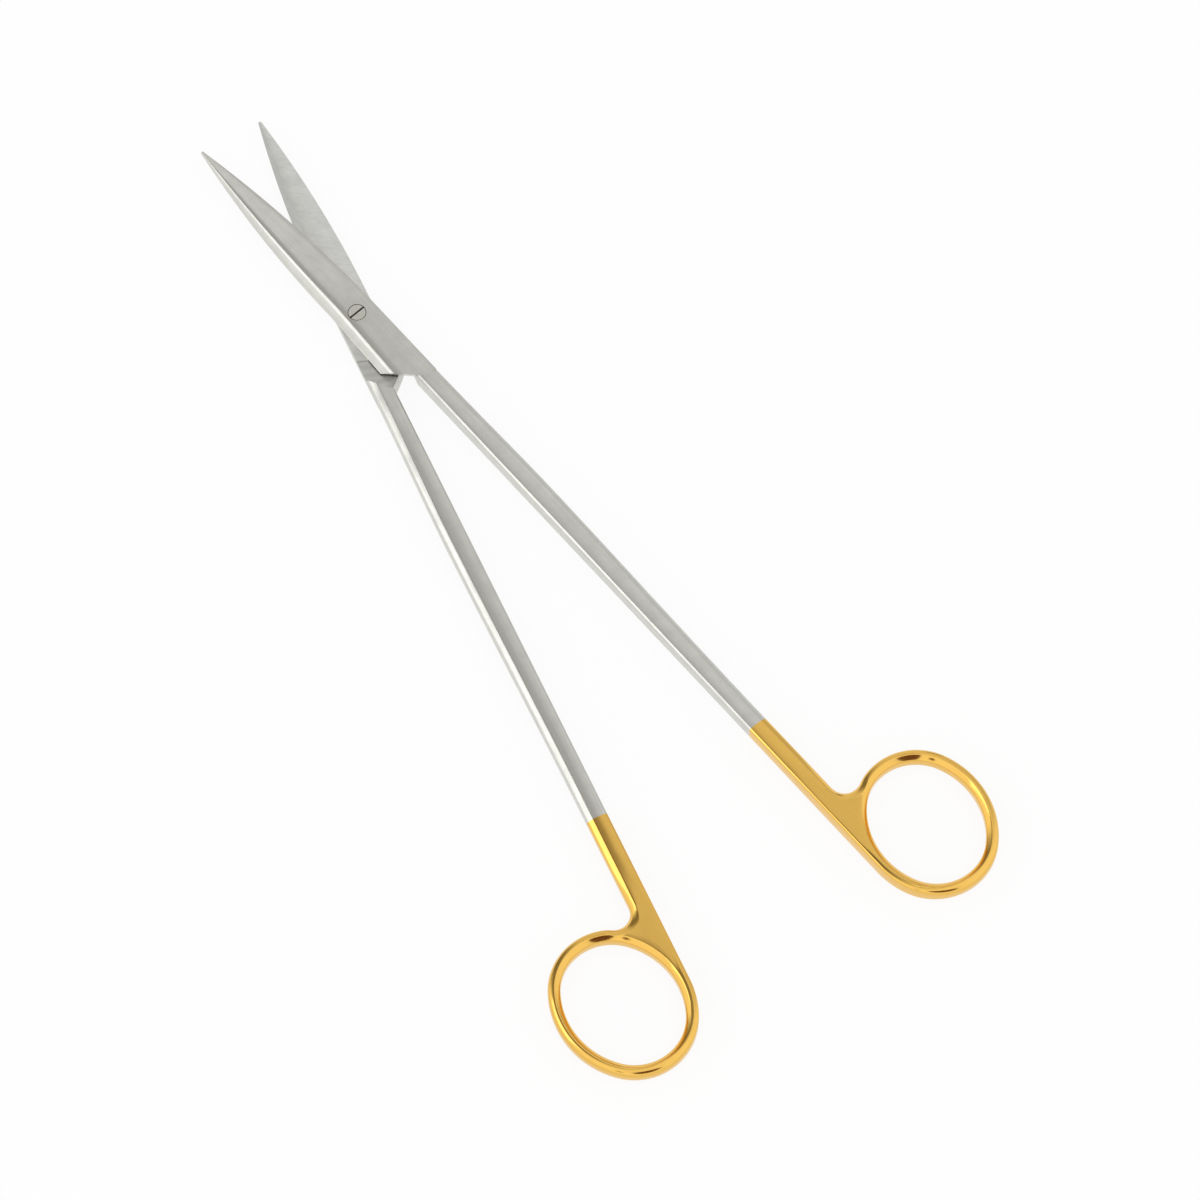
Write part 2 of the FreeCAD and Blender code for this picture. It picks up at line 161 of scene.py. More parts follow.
def close_holes(bm):
    bmesh.ops.holes_fill(bm, edges=[edge for edge in bm.edges if edge.is_boundary], sides=0)


def finished_mesh(bm, name):
    """A mesh without slivers and with its faces outwards."""
    bmesh.ops.dissolve_degenerate(bm, dist=SLIVER, edges=bm.edges)
    bmesh.ops.recalc_face_normals(bm, faces=bm.faces)
    mesh = bpy.data.meshes.new(name)
    bm.to_mesh(mesh)
    bm.free()
    return mesh


def oval_point(beyond, facing):
    """The point that lies so far beyond the opening where it faces at an angle, and its normal."""
    angle = math.radians(facing)
    normal = Vector((math.cos(angle), math.sin(angle)))
    if abs(normal.y) * END_SHIFT < abs(normal.x) * SIDE_SHIFT:
        point = Vector((math.copysign(END_SHIFT, normal.x), 0)) + normal * (END_RADIUS + beyond)
    else:
        point = Vector((0, -math.copysign(SIDE_SHIFT, normal.y))) + normal * (SIDE_RADIUS + beyond)
    turn = Matrix.Rotation(math.radians(RING_TURN), 2)
    return RING_CENTRE + turn @ point, turn @ normal


def crotch_facing():
    """The angle round the opening at which the crotch's arc runs into the ring."""
    low, high = 360.0, 360.0 + INNERMOST
    while high - low > CROTCH_EXACTNESS:
        middle = (low + high) / 2
        if oval_point(RING_WIRE + CROTCH_RADIUS, middle)[0].x > OUTER_SIDE + CROTCH_RADIUS:
            low = middle
        else:
            high = middle
    return low


def ring_outline():
    """The ring's outline, from the shank's inner side round the ring and the crotch to its outer.

    Each entry is a point, its outward normal, and the angle of the opening's point that faces it.
    """
    entries = []
    web_end = oval_point(RING_WIRE, INNERMOST)[0].y
    for step in range(WEB_STEPS):
        share = step / WEB_STEPS
        point = Vector((INNER_SIDE, mix(MOUTH, web_end, share)))
        entries.append((point, Vector((-1.0, 0.0)), mix(INNER_CORNER, INNERMOST, share)))
    last = crotch_facing()
    for step in range(RING_STEPS + 1):
        facing = mix(INNERMOST, last, step / RING_STEPS)
        entries.append((*oval_point(RING_WIRE, facing), facing))
    centre, normal = oval_point(RING_WIRE + CROTCH_RADIUS, last)
    start = math.atan2(-normal.y, -normal.x) % (2 * math.pi)
    for step in range(1, CROTCH_STEPS + 1):
        share = step / CROTCH_STEPS
        angle = mix(start, math.pi, share)
        spoke = Vector((math.cos(angle), math.sin(angle)))
        facing = mix(last, OUTER_CORNER, share * CROTCH_SHARE)
        entries.append((centre + spoke * CROTCH_RADIUS, -spoke, facing))
    entries.append((Vector((OUTER_SIDE, MOUTH)), Vector((1.0, 0.0)), OUTER_CORNER))
    return entries


def opening_side(facing):
    """The opening's wall and its rim at an angle, from the centre plane up."""
    foot, normal = oval_point(0.0, facing)
    profile = [Vector((0.0, 0.0)), *reversed(edge_profile(*OPENING_RIM, RING_HALF_HEIGHT))]
    return [(foot + normal * across).to_3d() + Vector((0, 0, up)) for across, up in profile]


def top_run(start, end):
    """Points across the top face, slightly crowned."""
    points = []
    crown = max(LEAST_CROWN, CROWN - CROWN_LOSS * (end - start).length)
    for step in range(1, TOP_STEPS):
        share = step / TOP_STEPS
        point = start.lerp(end, share)
        point.z += crown * math.sin(math.pi * share)
        points.append(point)
    return points


def ring_column(point, normal, facing):
    """The ring's section at one place of its outline, from the opening to the outside."""
    rim = edge_profile(*along_keys(RIM_KEYS, facing), RING_HALF_HEIGHT)
    rim.append(Vector((0.0, 0.0)))
    outside = [(point - normal * across).to_3d() + Vector((0, 0, up)) for across, up in rim]
    inside = opening_side(facing)
    return inside + top_run(inside[-1], outside[0]) + outside


# The joint's end and how far its plate stands out at the back there
JOINT_END, JOINT_BACK = -20.5, 5.2

# The shank, by the place along it: its outer side, half its height, the inner edge's break and
# rounding, and the outer edge's rim
SHANK_KEYS = (
    (MOUTH, (OUTER_SIDE, RING_HALF_HEIGHT, INNER_BREAK, INNER_ROUND, *MOUTH_RIM)),
    (-136.0, (OUTER_SIDE, RING_HALF_HEIGHT, 0.35, 0.3, 1.25, 0.95, 0.7)),
    (-118.0, (OUTER_SIDE, RING_HALF_HEIGHT, 0.4, 0.25, 1.3, 1.0, 0.9)),
    (-55.0, (4.93, 2.125, 0.45, 0.25, 1.3, 0.95, 0.9)),
    (-20.6, (4.3, 2.2, 0.45, 0.2, 1.3, 0.65, 0.5)),
    (-20.4, (4.28, 2.18, 0.45, 0.2, 1.3, 0.65, 0.5)),
    (-12.0, (4.28, 2.18, 0.45, 0.2, 1.3, 0.65, 0.5)),
)
PLATING_START = -123.7

# Sections are close together behind the ring, and the last three are at the joint
SHANK_PLACES = (
    *(MOUTH + 1.2 * step for step in range(1, 16)),
    PLATING_START,
    *(-120.0 + 4.0 * step for step in range(25)),
    *(place for place, sizes in SHANK_KEYS[-3:]),
)

# The top falls away to the outer side, and by a share of that to the inner. The fall fades over
# these lengths towards the mouth and towards the joint
TOP_DROOP, INNER_SHARE = 0.18, 0.6
MOUTH_FADE, JOINT_FADE = 10, 16
TOP_SHARES = (0.25, 0.5, 0.75)


def shank_row(place):
    """Half the shank's section, over the top from the inner side to the outer."""
    outer, height, inner_break, inner_round, across, down, outer_round = along_keys(SHANK_KEYS, place)
    droop = TOP_DROOP * eased((place - MOUTH) / MOUTH_FADE) * eased((JOINT_END - place) / JOINT_FADE)
    fall = INNER_SHARE * droop
    inner = edge_profile(inner_break, inner_break - fall, inner_round, height - fall)
    outside = edge_profile(across, down - droop, outer_round, height - droop)
    row = [Vector((INNER_SIDE, place, 0.0))]
    row += [Vector((INNER_SIDE + away, place, up)) for away, up in reversed(inner)]
    start, end = row[-1], Vector((outer - outside[0].x, place, height))
    for share in TOP_SHARES:
        point = start.lerp(end, share)
        point.z = height - droop * share * share - fall * (1 - share) ** 2
        row.append(point)
    row += [Vector((outer - away, place, up)) for away, up in outside]
    row.append(Vector((outer, place, 0.0)))
    return row


def handle_mesh():
    """The ring, its web and the shank as one closed skin."""
    bm = bmesh.new()
    columns = [ring_column(*entry) for entry in ring_outline()]
    skin(bm, columns)
    # The web's top between the opening and the mouth, from the outer corner to the inner
    to_rim = len(columns[0]) - RIM_POINTS
    mouth_row = shank_row(MOUTH)
    crests = mouth_row[1 + RIM_POINTS:][:len(TOP_SHARES)]
    web = [columns[-1][:to_rim]]
    for number, crest in enumerate(reversed(crests), start=1):
        inside = opening_side(mix(OUTER_CORNER - 360, INNER_CORNER, number / (len(crests) + 1)))
        web.append(inside + top_run(inside[-1], crest) + [crest])
    web.append(columns[0][:to_rim])
    skin(bm, web)
    skin(bm, [mouth_row] + [shank_row(place) for place in SHANK_PLACES])
    bmesh.ops.remove_doubles(bm, verts=bm.verts, dist=TOUCHING)
    bmesh.ops.mirror(bm, geom=bm.verts[:] + bm.edges[:] + bm.faces[:], axis="Z", merge_dist=TOUCHING)
    close_holes(bm)
    return finished_mesh(bm, "handle")


# The blade's distances from its centre line to the back and to the cutting edge, and the height
# of the edge's land, each at its start, middle and tip
BLADE_START, TIP = 3.5, 52.0
BACK, EDGE, LAND = (4.3, 3.4, 0.35), (4.3, 3.35, 0.3), (1.7, 0.8, 0.2)
BLADE_STEPS = 40

# Its section: the bevel above the land across and up, how far the spine and the top of the back
# lie inboard, how far the back's top lies below the spine, what the spine loses towards the
# tip, and how much the land leans there
BEVEL_ACROSS, BEVEL_UP = 1.3, 0.5
SPINE_INBOARD, BACK_INBOARD, BACK_DROP = 2.9, 1.6, 0.17
SPINE_LOSS, LAND_LEAN = 1.75, 0.35

# The radius and the steps of the section's six corners, and how much finer they are at the tip
CORNER_ROUNDS = ((0.1, 3), (0.01, 1), (0.16, 2), (0.3, 3), (9.0, 4), (1.7, 8))
TIP_FINENESS = 0.8

# The plate's step and the shoulder that it meets run at 45 degrees and lean by 20
STEP_PLACE, SHOULDER_CLEARANCE = -19.3, 0.4
STEP_LEAN = math.tan(math.radians(20)) * math.sqrt(2)

# The relief behind the joint's disc, and the corners of the blocks that its cutter and the
# shoulder's are made of
RELIEF_RADIUS, RELIEF_DEPTH, RELIEF_SEGMENTS = 10.3, 0.2, 160
RELIEF_BLOCK = ((-30, -40, -1), (30, 0, RELIEF_DEPTH))
SHOULDER_BLOCK = ((-12, -40, -5), (12, 0, RELIEF_DEPTH))

# The strip's seat at its start and at its end: place, inner side and depth
SEAT_ENDS = ((4.5, EDGE[0] - 1.3, 0.75), (53.0, 0.0, 0.15))

# The screw's sizes set the bore and the head's seat. Their cutters reach past a half's faces
HEAD_RADIUS, SCREW_RADIUS, HEAD_HEIGHT, SCREW_CLEARANCE = 1.9, 1.2, 0.9, 0.03
CUTTER_REACH, ROUND_SEGMENTS = 4, 96


def quadratic(share, start, middle, end):
    """A size that runs smoothly through three given ones along the blade."""
    return (
        start * (1 - share) * (1 - 2 * share)
        + middle * 4 * share * (1 - share)
        + end * share * (2 * share - 1)
    )


def blade_row(place):
    """The section of the joint's plate and of the blade, with its ridges lightly rounded."""
    share = max(0.0, (place - BLADE_START) / (TIP - BLADE_START))
    widening = (JOINT_BACK - BACK[0]) * max(0.0, BLADE_START - place) / (BLADE_START - JOINT_END)
    back, edge, land = (quadratic(share, *values) for values in (BACK, EDGE, LAND))
    spine = HALF_THICKNESS - SPINE_LOSS * share * share
    slimness, thinness = back / BACK[0], spine / HALF_THICKNESS
    bevel_foot = edge - LAND_LEAN * land * share
    corners = [
        (-back - widening, 0),
        (edge, 0),
        (bevel_foot, land),
        (bevel_foot - BEVEL_ACROSS * edge / EDGE[0], land + BEVEL_UP * thinness),
        (SPINE_INBOARD * slimness - back - widening, spine),
        (BACK_INBOARD * slimness - back - widening, spine - BACK_DROP * thinness),
    ]
    corners = [Vector(corner) for corner in corners]
    row = []
    for index, (radius, steps) in enumerate(CORNER_ROUNDS):
        before, after = corners[index - 1], corners[(index + 1) % len(corners)]
        row += arc_at(before, corners[index], after, radius * (1 - TIP_FINENESS * share), steps)
    return [Vector((point.x, place, point.y)) for point in row]


def capped_skin(rows):
    """A solid over closed rows of points."""
    bm = bmesh.new()
    rings = skin(bm, rows, closed=True)
    bm.faces.new(rings[0])
    bm.faces.new(rings[-1])
    return bm


def cut_beyond(bm, place, normal):
    """What lies beyond a plane, cut away."""
    geometry = bm.verts[:] + bm.edges[:] + bm.faces[:]
    bmesh.ops.bisect_plane(bm, geom=geometry, plane_co=place, plane_no=normal, clear_outer=True)
    close_holes(bm)


def blade_mesh():
    """The joint's plate and the blade, with the slanted step at the plate's end."""
    places = [mix(BLADE_START, TIP, step / BLADE_STEPS) for step in range(BLADE_STEPS + 1)]
    bm = capped_skin([blade_row(place) for place in [JOINT_END, *places]])
    cut_beyond(bm, (0, STEP_PLACE, HALF_THICKNESS), (-1, -1, -STEP_LEAN))
    return finished_mesh(bm, "blade")


def block(low, high):
    """A plain block between two corners."""
    bm = bmesh.new()
    bmesh.ops.create_cube(bm, size=1.0)
    low, high = Vector(low), Vector(high)
    bmesh.ops.scale(bm, vec=high - low, verts=bm.verts)
    bmesh.ops.translate(bm, vec=(low + high) / 2, verts=bm.verts)
    return bm


def disc_mesh(radius, low, high, segments=ROUND_SEGMENTS):
    """A plain disc on the pivot's axis."""
    bm = bmesh.new()
    bmesh.ops.create_cone(
        bm, cap_ends=True, segments=segments, radius1=radius, radius2=radius, depth=high - low
    )
    bmesh.ops.translate(bm, vec=(0, 0, (low + high) / 2), verts=bm.verts)
    return finished_mesh(bm, "disc")


def combined(base, tool, operation):
    """Two meshes made one, or one cut by the other."""
    items = []
    for mesh in (base, tool):
        item = bpy.data.objects.new("work", mesh)
        bpy.context.scene.collection.objects.link(item)
        items.append(item)
    modifier = items[0].modifiers.new("combine", "BOOLEAN")
    modifier.operation = operation
    modifier.solver = "EXACT"
    modifier.object = items[1]
    depsgraph = bpy.context.evaluated_depsgraph_get()
    mesh = bpy.data.meshes.new_from_object(items[0].evaluated_get(depsgraph))
    for item in items:
        bpy.data.objects.remove(item)
    return mesh


def cut(base, *tools):
    """A mesh cut by others, one after another."""
    for tool in tools:
        base = combined(base, tool, "DIFFERENCE")
    return base


def relief_cutter():
    """What the relief takes off behind the joint's disc."""
    disc = disc_mesh(RELIEF_RADIUS, -2, 1, RELIEF_SEGMENTS)
    return cut(finished_mesh(block(*RELIEF_BLOCK), "relief"), disc)


def shoulder_cutter():
    """All that lies ahead of the shoulder, up to the relief."""
    bm = block(*SHOULDER_BLOCK)
    place = STEP_PLACE - SHOULDER_CLEARANCE * math.sqrt(2)
    cut_beyond(bm, (0, place, -HALF_THICKNESS), (1, -1, STEP_LEAN))
    return finished_mesh(bm, "shoulder_cutter")


def seat_mesh():
    """The space of the carbide strip, open at the cutting edge and at the ride face."""
    beyond, below = EDGE[0] + 1, -1
    rows = []
    for place, inner, depth in SEAT_ENDS:
        corners = ((inner, below), (beyond, below), (beyond, depth), (inner, depth))
        rows.append([Vector((across, place, up)) for across, up in corners])
    return finished_mesh(capped_skin(rows), "seat")


plate = cut(blade_mesh(), relief_cutter())
handle = cut(handle_mesh(), shoulder_cutter())
forging = combined(handle, plate, "UNION")
bore = disc_mesh(SCREW_RADIUS + SCREW_CLEARANCE, -CUTTER_REACH, CUTTER_REACH)
head_seat = disc_mesh(
    HEAD_RADIUS + SCREW_CLEARANCE, HALF_THICKNESS - HEAD_HEIGHT - SCREW_CLEARANCE, CUTTER_REACH
)
lower_shape = cut(forging, bore, seat_mesh())
upper_shape = cut(lower_shape, head_seat)


def lying(height, turn):
    """A half's place in the frame, with its ride face at a height."""
    place = Matrix.Translation((0, 0, height)) @ Matrix.Rotation(turn, 4, "Z")
    return Matrix.Scale(MILLIMETRE, 4) @ place


def add(tree, kind, inputs, **settings):
    """A node, with its settings, and its inputs linked or set."""
    item = tree.nodes.new("ShaderNode" + kind)
    for key, value in settings.items():
        setattr(item, key, value)
    for socket, value in inputs.items():
        if isinstance(value, bpy.types.NodeSocket):
            tree.links.new(value, item.inputs[socket])
        else:
            item.inputs[socket].default_value = value
    return item


def counted(tree, operation, *values):
    """Values added, multiplied or compared."""
    return add(tree, "Math", dict(enumerate(values)), operation=operation).outputs[0]


def ranged(tree, value, start, end, low=0.0, high=1.0, **settings):
    """A value that runs from start to end, made to run from low to high."""
    inputs = {"Value": value, "From Min": start, "From Max": end, "To Min": low, "To Max": high}
    return add(tree, "MapRange", inputs, **settings).outputs[0]


def blended(tree, share, first, second):
    """A colour between two."""
    return add(tree, "Mix", {0: share, 6: first, 7: second}, data_type="RGBA").outputs[2]


def noise(tree, place, scale, detail, roughness):
    inputs = {"Vector": place, "Scale": scale, "Detail": detail, "Roughness": roughness}
    return add(tree, "TexNoise", inputs).outputs[0]


def metal(name):
    """A new metal, with its nodes, its shader and the places on the piece."""
    material = bpy.data.materials.new(name)
    material.use_nodes = True
    tree = material.node_tree
    shader = tree.nodes["Principled BSDF"]
    shader.inputs["Metallic"].default_value = 1.0
    return material, tree, shader, add(tree, "TexCoord", {}).outputs["Object"]


def surfaced(tree, shader, colour, roughness, height, strength, distance):
    """A shader's colour, roughness and bumps."""
    bumps = add(tree, "Bump", {"Height": height, "Strength": strength, "Distance": distance})
    tree.links.new(colour, shader.inputs["Base Color"])
    tree.links.new(roughness, shader.inputs["Roughness"])
    tree.links.new(bumps.outputs[0], shader.inputs["Normal"])


# How often grinding lines repeat in a metre across, along and up, fine and coarse
SATIN_GRAIN = ((9000, 70, 9000), (1500, 30, 1500))
LAPPED_GRAIN, LAPPED_TURN = ((3000, 500, 3000), (900, 300, 900)), 1.1
MILLING_ARCS = 160.0

# How the lines vary, how deep they are in metres, and the clouds that lie over them
LINE_NOISE = {"detail": 4.0, "roughness": 0.65}
LINE_DEPTH = 0.00002
CLOUD_NOISE = {"scale": 330.0, "detail": 5.0, "roughness": 0.6}

# What lines and clouds make of a metal's colour, and what they add to its roughness where it is
# dark and take from it where it is light
DARKEST, LIGHTEST = 0.86, 1.1
ROUGHER, SMOOTHER = 0.07, 0.05


def ground_metal(name, turn, grain, colour, roughness, bump, arcs=0.0):
    """Metal with grinding lines along a direction, turned from Y, or with milling arcs."""
    material, tree, shader, place = metal(name)
    turned = add(tree, "Mapping", {"Vector": place, "Rotation": (0, 0, -turn)}).outputs[0]
    lines = []
    for scale in grain:
        stretched = add(tree, "Mapping", {"Vector": turned, "Scale": scale}).outputs[0]
        lines.append(noise(tree, stretched, scale=1.0, **LINE_NOISE))
    height = counted(tree, "ADD", *lines)
    clouds = noise(tree, place, **CLOUD_NOISE)
    shade = ranged(tree, counted(tree, "ADD", height, clouds), 1.0, 2.0)
    if arcs:
        wave = {"Vector": place, "Scale": arcs, "Distortion": 0.6, "Detail": 2.0, "Detail Scale": 2.0}
        rings = add(tree, "TexWave", wave, wave_type="RINGS", rings_direction="Z").outputs[1]
        height = counted(tree, "MULTIPLY_ADD", rings, lines[0])
        shade = counted(tree, "MULTIPLY", shade, rings)
    dark = (*(part * DARKEST for part in colour), 1)
    light = (*(min(1.0, part * LIGHTEST) for part in colour), 1)
    surfaced(
        tree, shader, blended(tree, shade, dark, light),
        ranged(tree, shade, 0.0, 1.0, roughness + ROUGHER, roughness - SMOOTHER),
        height, bump, LINE_DEPTH,
    )
    return material


def plated_metal():
    """Polished gold plating, slightly wavy from the hand polishing under it, with a faint haze."""
    material, tree, shader, place = metal("gold_plate")
    waves = noise(tree, place, scale=170.0, detail=1.5, roughness=0.4)
    haze = noise(tree, place, scale=900.0, detail=5.0, roughness=0.7)
    gold = blended(tree, haze, (0.81, 0.48, 0.095, 1), (0.85, 0.535, 0.135, 1))
    surfaced(
        tree, shader, gold, ranged(tree, haze, 0.0, 1.0, 0.07, 0.16),
        waves, strength=0.35, distance=0.0002,
    )
    return material


# A half's finishes in the order of its materials, and how flat and how level its ride face is
SATIN, PLATED, LAPPED, MILLED = range(4)
FLAT, LEVEL = 0.99, 0.01
gold_plate = plated_metal()


def half_finishes(side, turn):
    """A half's own materials, with the plating that both halves share."""
    satin = ground_metal(
        f"satin_steel_{side}", turn, SATIN_GRAIN, colour=(0.66, 0.655, 0.61), roughness=0.33, bump=0.45
    )
    lapped = ground_metal(
        f"lapped_steel_{side}", turn + LAPPED_TURN, LAPPED_GRAIN,
        colour=(0.7, 0.7, 0.67), roughness=0.36, bump=0.6,
    )
    milled = ground_metal(
        f"milled_steel_{side}", turn, SATIN_GRAIN,
        colour=(0.64, 0.64, 0.6), roughness=0.36, bump=0.35, arcs=MILLING_ARCS,
    )
    return satin, gold_plate, lapped, milled


def half_finish(polygon):
    """Which finish a face of a half has: the ride face is lapped, and the relief above it milled."""
    if polygon.center.y < PLATING_START:
        return PLATED
    if polygon.normal.z < -FLAT and polygon.center.z > -LEVEL:
        return LAPPED if polygon.center.z < LEVEL else MILLED
    return SATIN


# Faces that meet at more than this stay sharp
SHARP_ANGLE = math.radians(24)


def placed(name, shape, placement, materials, body, node, finish_of=None):
    """A piece in its place, riding on its body in the stead of its CAD node."""
    mesh = shape.copy()
    mesh.name = name
    mesh.materials.clear()
    for material in materials:
        mesh.materials.append(material)
    for polygon in mesh.polygons:
        polygon.use_smooth = True
        polygon.material_index = finish_of(polygon) if finish_of else 0
    mesh.transform(placement)
    mesh.set_sharp_from_angle(angle=SHARP_ANGLE)
    piece = bpy.data.objects.new(name, mesh)
    bpy.context.scene.collection.objects.link(piece)
    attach(piece, body)
    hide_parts(node)


# Each half's side, turn and place. The lower one is turned over
HALVES = (
    ("lower", -HALF_OPENING, lying(HALF_THICKNESS, -HALF_OPENING) @ Matrix.Rotation(math.pi, 4, "Y")),
    ("upper", HALF_OPENING, lying(HALF_THICKNESS + RIDE_GAP, HALF_OPENING)),
)
for (side, turn, placement), shape in zip(HALVES, (lower_shape, upper_shape)):
    finishes = half_finishes(side, turn)
    placed(f"{side}_half_forging", shape, placement, finishes, side, f"{side}_half", half_finish)

# Edge strips: one of carbide along the cutting edge of each blade, darker and smoother than steel.
# It is brazed into its seat and then ground with the blade, so it has the forging's own outside.
STRIP_GRAIN, STRIP_TURN = ((5000, 200, 5000), (1500, 90, 1500)), 0.2

strip_shape = combined(forging, seat_mesh(), "INTERSECT")
for side, turn, placement in HALVES:
    carbide = ground_metal(
        f"ground_carbide_{side}", turn + STRIP_TURN, STRIP_GRAIN,
        colour=(0.66, 0.66, 0.64), roughness=0.26, bump=0.3,
    )
    placed(
        f"{side}_edge_strip", strip_shape, placement, (carbide,), side, f"{side}_edge_insert"
    )

# Pivot screw: a slotted steel screw, turned, its head let in flush with the upper half.
# Its thread goes into the lower half and is hidden. The slot and the gap round the head are painted
# dark, for their shade and dirt.
STACK = 2 * HALF_THICKNESS + RIDE_GAP
HEAD_FOOT = STACK - HEAD_HEIGHT
HEAD_EDGE, SCREW_END_EDGE = 0.12, 0.15
SLOT_WIDTH, SLOT_DEPTH, SLOT_TURN = 0.4, 0.45, math.radians(10.5)
SLOT_HALF_LENGTH = 3
TURNED_GRAIN, TURNED_TURN = ((2500, 700, 2500), (900, 400, 900)), 1.0


def screw_shape():
    """The screw, spun from its outline, with its slot cut."""
    bm = bmesh.new()
    outline = (
        (0, 0),
        (SCREW_RADIUS - SCREW_END_EDGE, 0),
        (SCREW_RADIUS, SCREW_END_EDGE),
        (SCREW_RADIUS, HEAD_FOOT),
        (HEAD_RADIUS, HEAD_FOOT),
        (HEAD_RADIUS, STACK - HEAD_EDGE),
        (HEAD_RADIUS - HEAD_EDGE, STACK),
        (0, STACK),
    )
    points = [bm.verts.new((across, 0, up)) for across, up in outline]
    edges = [bm.edges.new(pair) for pair in zip(points, points[1:])]
    bmesh.ops.spin(
        bm, geom=points + edges, cent=(0, 0, 0), axis=(0, 0, 1),
        angle=2 * math.pi, steps=ROUND_SEGMENTS, use_merge=True,
    )
    bmesh.ops.remove_doubles(bm, verts=bm.verts, dist=SLIVER)
    slot = block(
        (-SLOT_HALF_LENGTH, -SLOT_WIDTH / 2, STACK - SLOT_DEPTH),
        (SLOT_HALF_LENGTH, SLOT_WIDTH / 2, STACK + 1),
    )
    turn = Matrix.Rotation(SLOT_TURN, 3, "Z")
    bmesh.ops.rotate(slot, cent=(0, 0, 0), matrix=turn, verts=slot.verts)
    return cut(finished_mesh(bm, "screw"), finished_mesh(slot, "slot"))


def screw_painted_shade_index(polygon):
    """The slot, the head's side and its edge get a dark colour for painted shade and dirt, and the
    rest is bare.
    """
    return int(HEAD_FOOT + LEVEL < polygon.center.z < STACK - LEVEL)


screw_steel = ground_metal(
    "screw_steel", TURNED_TURN, TURNED_GRAIN, colour=(0.68, 0.67, 0.6), roughness=0.34, bump=0.6
)
# Painted shade and dirt: a dark steel for the slot, the head's side and its edge
screw_shade_and_dirt = ground_metal(
    "screw_shade_and_dirt", TURNED_TURN, TURNED_GRAIN, colour=(0.16, 0.15, 0.13), roughness=0.5, bump=0.6
)
placed(
    "pivot_screw_turned", screw_shape(), Matrix.Scale(MILLIMETRE, 4), (screw_steel, screw_shade_and_dirt),
    "lower", "pivot_screw", screw_painted_shade_index,
)

# Floor: a sheet of matt white paper that the scissors lie on, larger than the picture.
# It looks evenly lit to the camera and in reflections, and still takes a faint shadow.
FLOOR_HALF_SIDE, FLOOR_HEIGHT = 3.0, -0.0002
EVEN_SHARE = 0.9
WHITE = (1, 1, 1, 1)

bm = bmesh.new()
bmesh.ops.create_grid(bm, x_segments=1, y_segments=1, size=FLOOR_HALF_SIDE)
floor_mesh = bpy.data.meshes.new("floor")
bm.to_mesh(floor_mesh)
bm.free()
floor = bpy.data.objects.new("floor", floor_mesh)
floor.location = (0, 0, FLOOR_HEIGHT)
bpy.context.scene.collection.objects.link(floor)
paper = bpy.data.materials.new("paper")
paper.use_nodes = True
paper_tree = paper.node_tree
paper_tree.nodes.remove(paper_tree.nodes["Principled BSDF"])
path = add(paper_tree, "LightPath", {}).outputs
seen = counted(paper_tree, "MAXIMUM", path["Is Camera Ray"], path["Is Glossy Ray"])
even = counted(paper_tree, "MULTIPLY", seen, EVEN_SHARE)
matt = add(paper_tree, "BsdfDiffuse", {"Color": WHITE}).outputs[0]
glow = add(paper_tree, "Emission", {"Color": WHITE, "Strength": 1.0}).outputs[0]
sheet = add(paper_tree, "MixShader", {0: even, 1: matt, 2: glow}).outputs[0]
paper_tree.links.new(sheet, paper_tree.nodes["Material Output"].inputs["Surface"])
floor_mesh.materials.append(paper)

# Light: a tent, bright on the left, dark overhead and grey on the right, with three dark gaps.
# One soft lamp on the left gives the faint shadow.

# The tent's brightness by how far to the right one looks, what it is divided by, and the tint of
# its dark part
TENT = (
    (-0.98, 0.88), (-0.8, 0.92), (-0.62, 0.95), (-0.42, 0.42), (-0.24, 0.2),
    (-0.02, 0.22), (0.2, 0.62), (0.5, 0.7), (0.95, 0.5),
)
TENT_DIVISOR, TENT_STRENGTH = 1.5, 1.9
DARK_LEVEL, DARK_TINT = 0.3, (1, 0.94, 0.86)

# The tent's near side is an even grey: where it sets in, its share and its colour
NEAR_START, NEAR_END, NEAR_SHARE, NEAR_GREY = 0.2, -0.2, 0.85, (0.62, 0.62, 0.62, 1)

# A gap's direction, and its radius in degrees where it is darkest and where it ends
GAPS = (
    ((-0.22, -0.78, 0.54), 15, 16.5),
    ((-0.7, -0.55, 0.5), 3.5, 4.5),
    ((0.72, 0.68, 0.11), 5, 6.5),
)
GAP_COLOUR = (0.09, 0.045, 0.03, 1)

LAMP_PLACE, LAMP_TARGET = Vector((-0.95, 0.4, 0.85)), Vector((0, -0.08, 0))
LAMP_SIDE, LAMP_POWER = 0.8, 1.7

world = bpy.context.scene.world or bpy.data.worlds.new("room")
bpy.context.scene.world = world
world.use_nodes = True
tent_tree = world.node_tree
looking = add(tent_tree, "TexCoord", {}).outputs["Generated"]
parts = add(tent_tree, "SeparateXYZ", {"Vector": looking}).outputs
ramp = add(tent_tree, "ValToRGB", {"Fac": ranged(tent_tree, parts["X"], -1.0, 1.0)})
for rightward, level in TENT:
    element = ramp.color_ramp.elements.new((rightward + 1) / 2)
    tint = DARK_TINT if level <= DARK_LEVEL else (1, 1, 1)
    element.color = (*(level * part / TENT_DIVISOR for part in tint), 1)
ramp.color_ramp.elements.remove(ramp.color_ramp.elements[0])
ramp.color_ramp.elements.remove(ramp.color_ramp.elements[-1])
near = ranged(
    tent_tree, parts["Y"], NEAR_START, NEAR_END, 0.0, NEAR_SHARE, interpolation_type="SMOOTHSTEP"
)
tent = blended(tent_tree, near, ramp.outputs[0], NEAR_GREY)
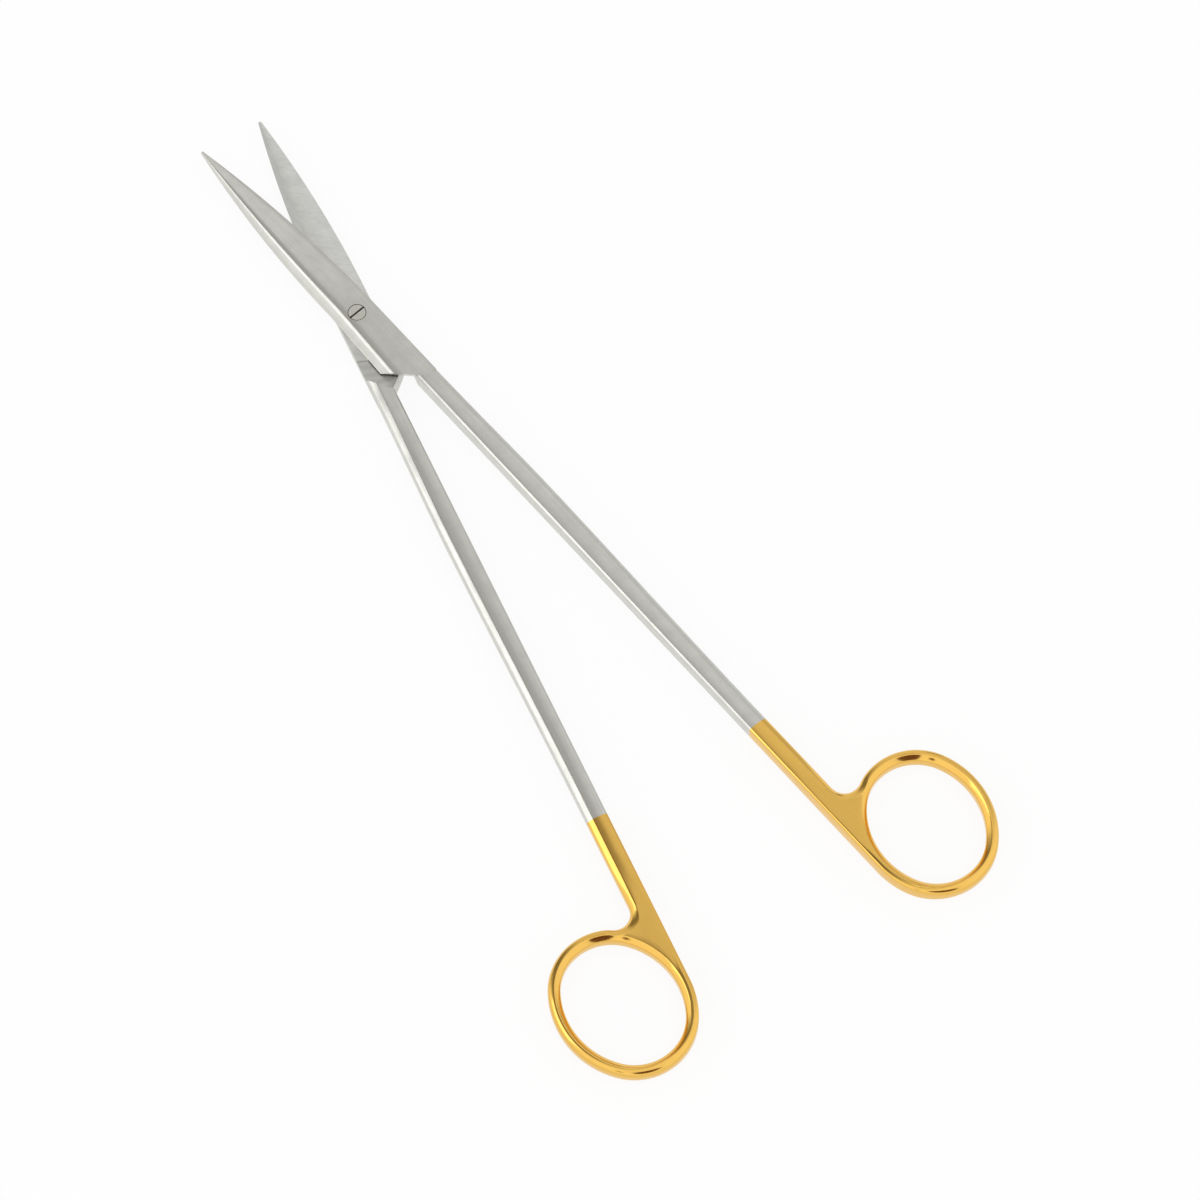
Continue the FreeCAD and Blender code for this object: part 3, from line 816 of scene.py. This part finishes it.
for gap, darkest, end in GAPS:
    towards = {0: looking, 1: Vector(gap).normalized()}
    nearness = add(tent_tree, "VectorMath", towards, operation="DOT_PRODUCT").outputs["Value"]
    hole = ranged(
        tent_tree, nearness, math.cos(math.radians(end)), math.cos(math.radians(darkest))
    )
    tent = blended(tent_tree, hole, tent, GAP_COLOUR)
background = tent_tree.nodes["Background"]
tent_tree.links.new(tent, background.inputs["Color"])
background.inputs["Strength"].default_value = TENT_STRENGTH

lamp = bpy.data.lights.new("left_box", "AREA")
lamp.shape = "SQUARE"
lamp.size = LAMP_SIDE
lamp.energy = LAMP_POWER
lamp_holder = bpy.data.objects.new("left_box", lamp)
lamp_holder.location = LAMP_PLACE
lamp_holder.rotation_euler = (LAMP_TARGET - LAMP_PLACE).to_track_quat("-Z", "Y").to_euler()
bpy.context.scene.collection.objects.link(lamp_holder)

# Camera: it stands at the photograph's angle, a metre off, with a long lens.
# Its frame is the photograph's, so the scissors lie in the picture where the real ones do.

# The point it looks at, the directions across and up the picture along the floor, how far it
# tilts from straight down, its focal length and its distance
AIM = Vector((0.0075, -0.0818, 0.00222))
ACROSS, UP_FLOOR = Vector((0.8438, -0.5367, 0)), Vector((0.5367, 0.8438, 0))
TILT = math.radians(25.84)
FOCAL_LENGTH, SENSOR_WIDTH, DISTANCE = 147.1, 36.0, 0.9873

lens = bpy.data.cameras.new("camera")
lens.lens, lens.sensor_width = FOCAL_LENGTH, SENSOR_WIDTH
lens.clip_start, lens.clip_end = 0.05, 20.0
camera = bpy.data.objects.new("camera", lens)
upright = Vector((0, 0, 1))
sight = -math.sin(TILT) * UP_FLOOR + math.cos(TILT) * upright
camera_up = math.cos(TILT) * UP_FLOOR + math.sin(TILT) * upright
camera_turn = Matrix((ACROSS, camera_up, sight)).transposed()
camera.matrix_world = Matrix.Translation(AIM + sight * DISTANCE) @ camera_turn.to_4x4()
bpy.context.scene.collection.objects.link(camera)
bpy.context.scene.camera = camera
bpy.context.scene.view_settings.view_transform = "Standard"
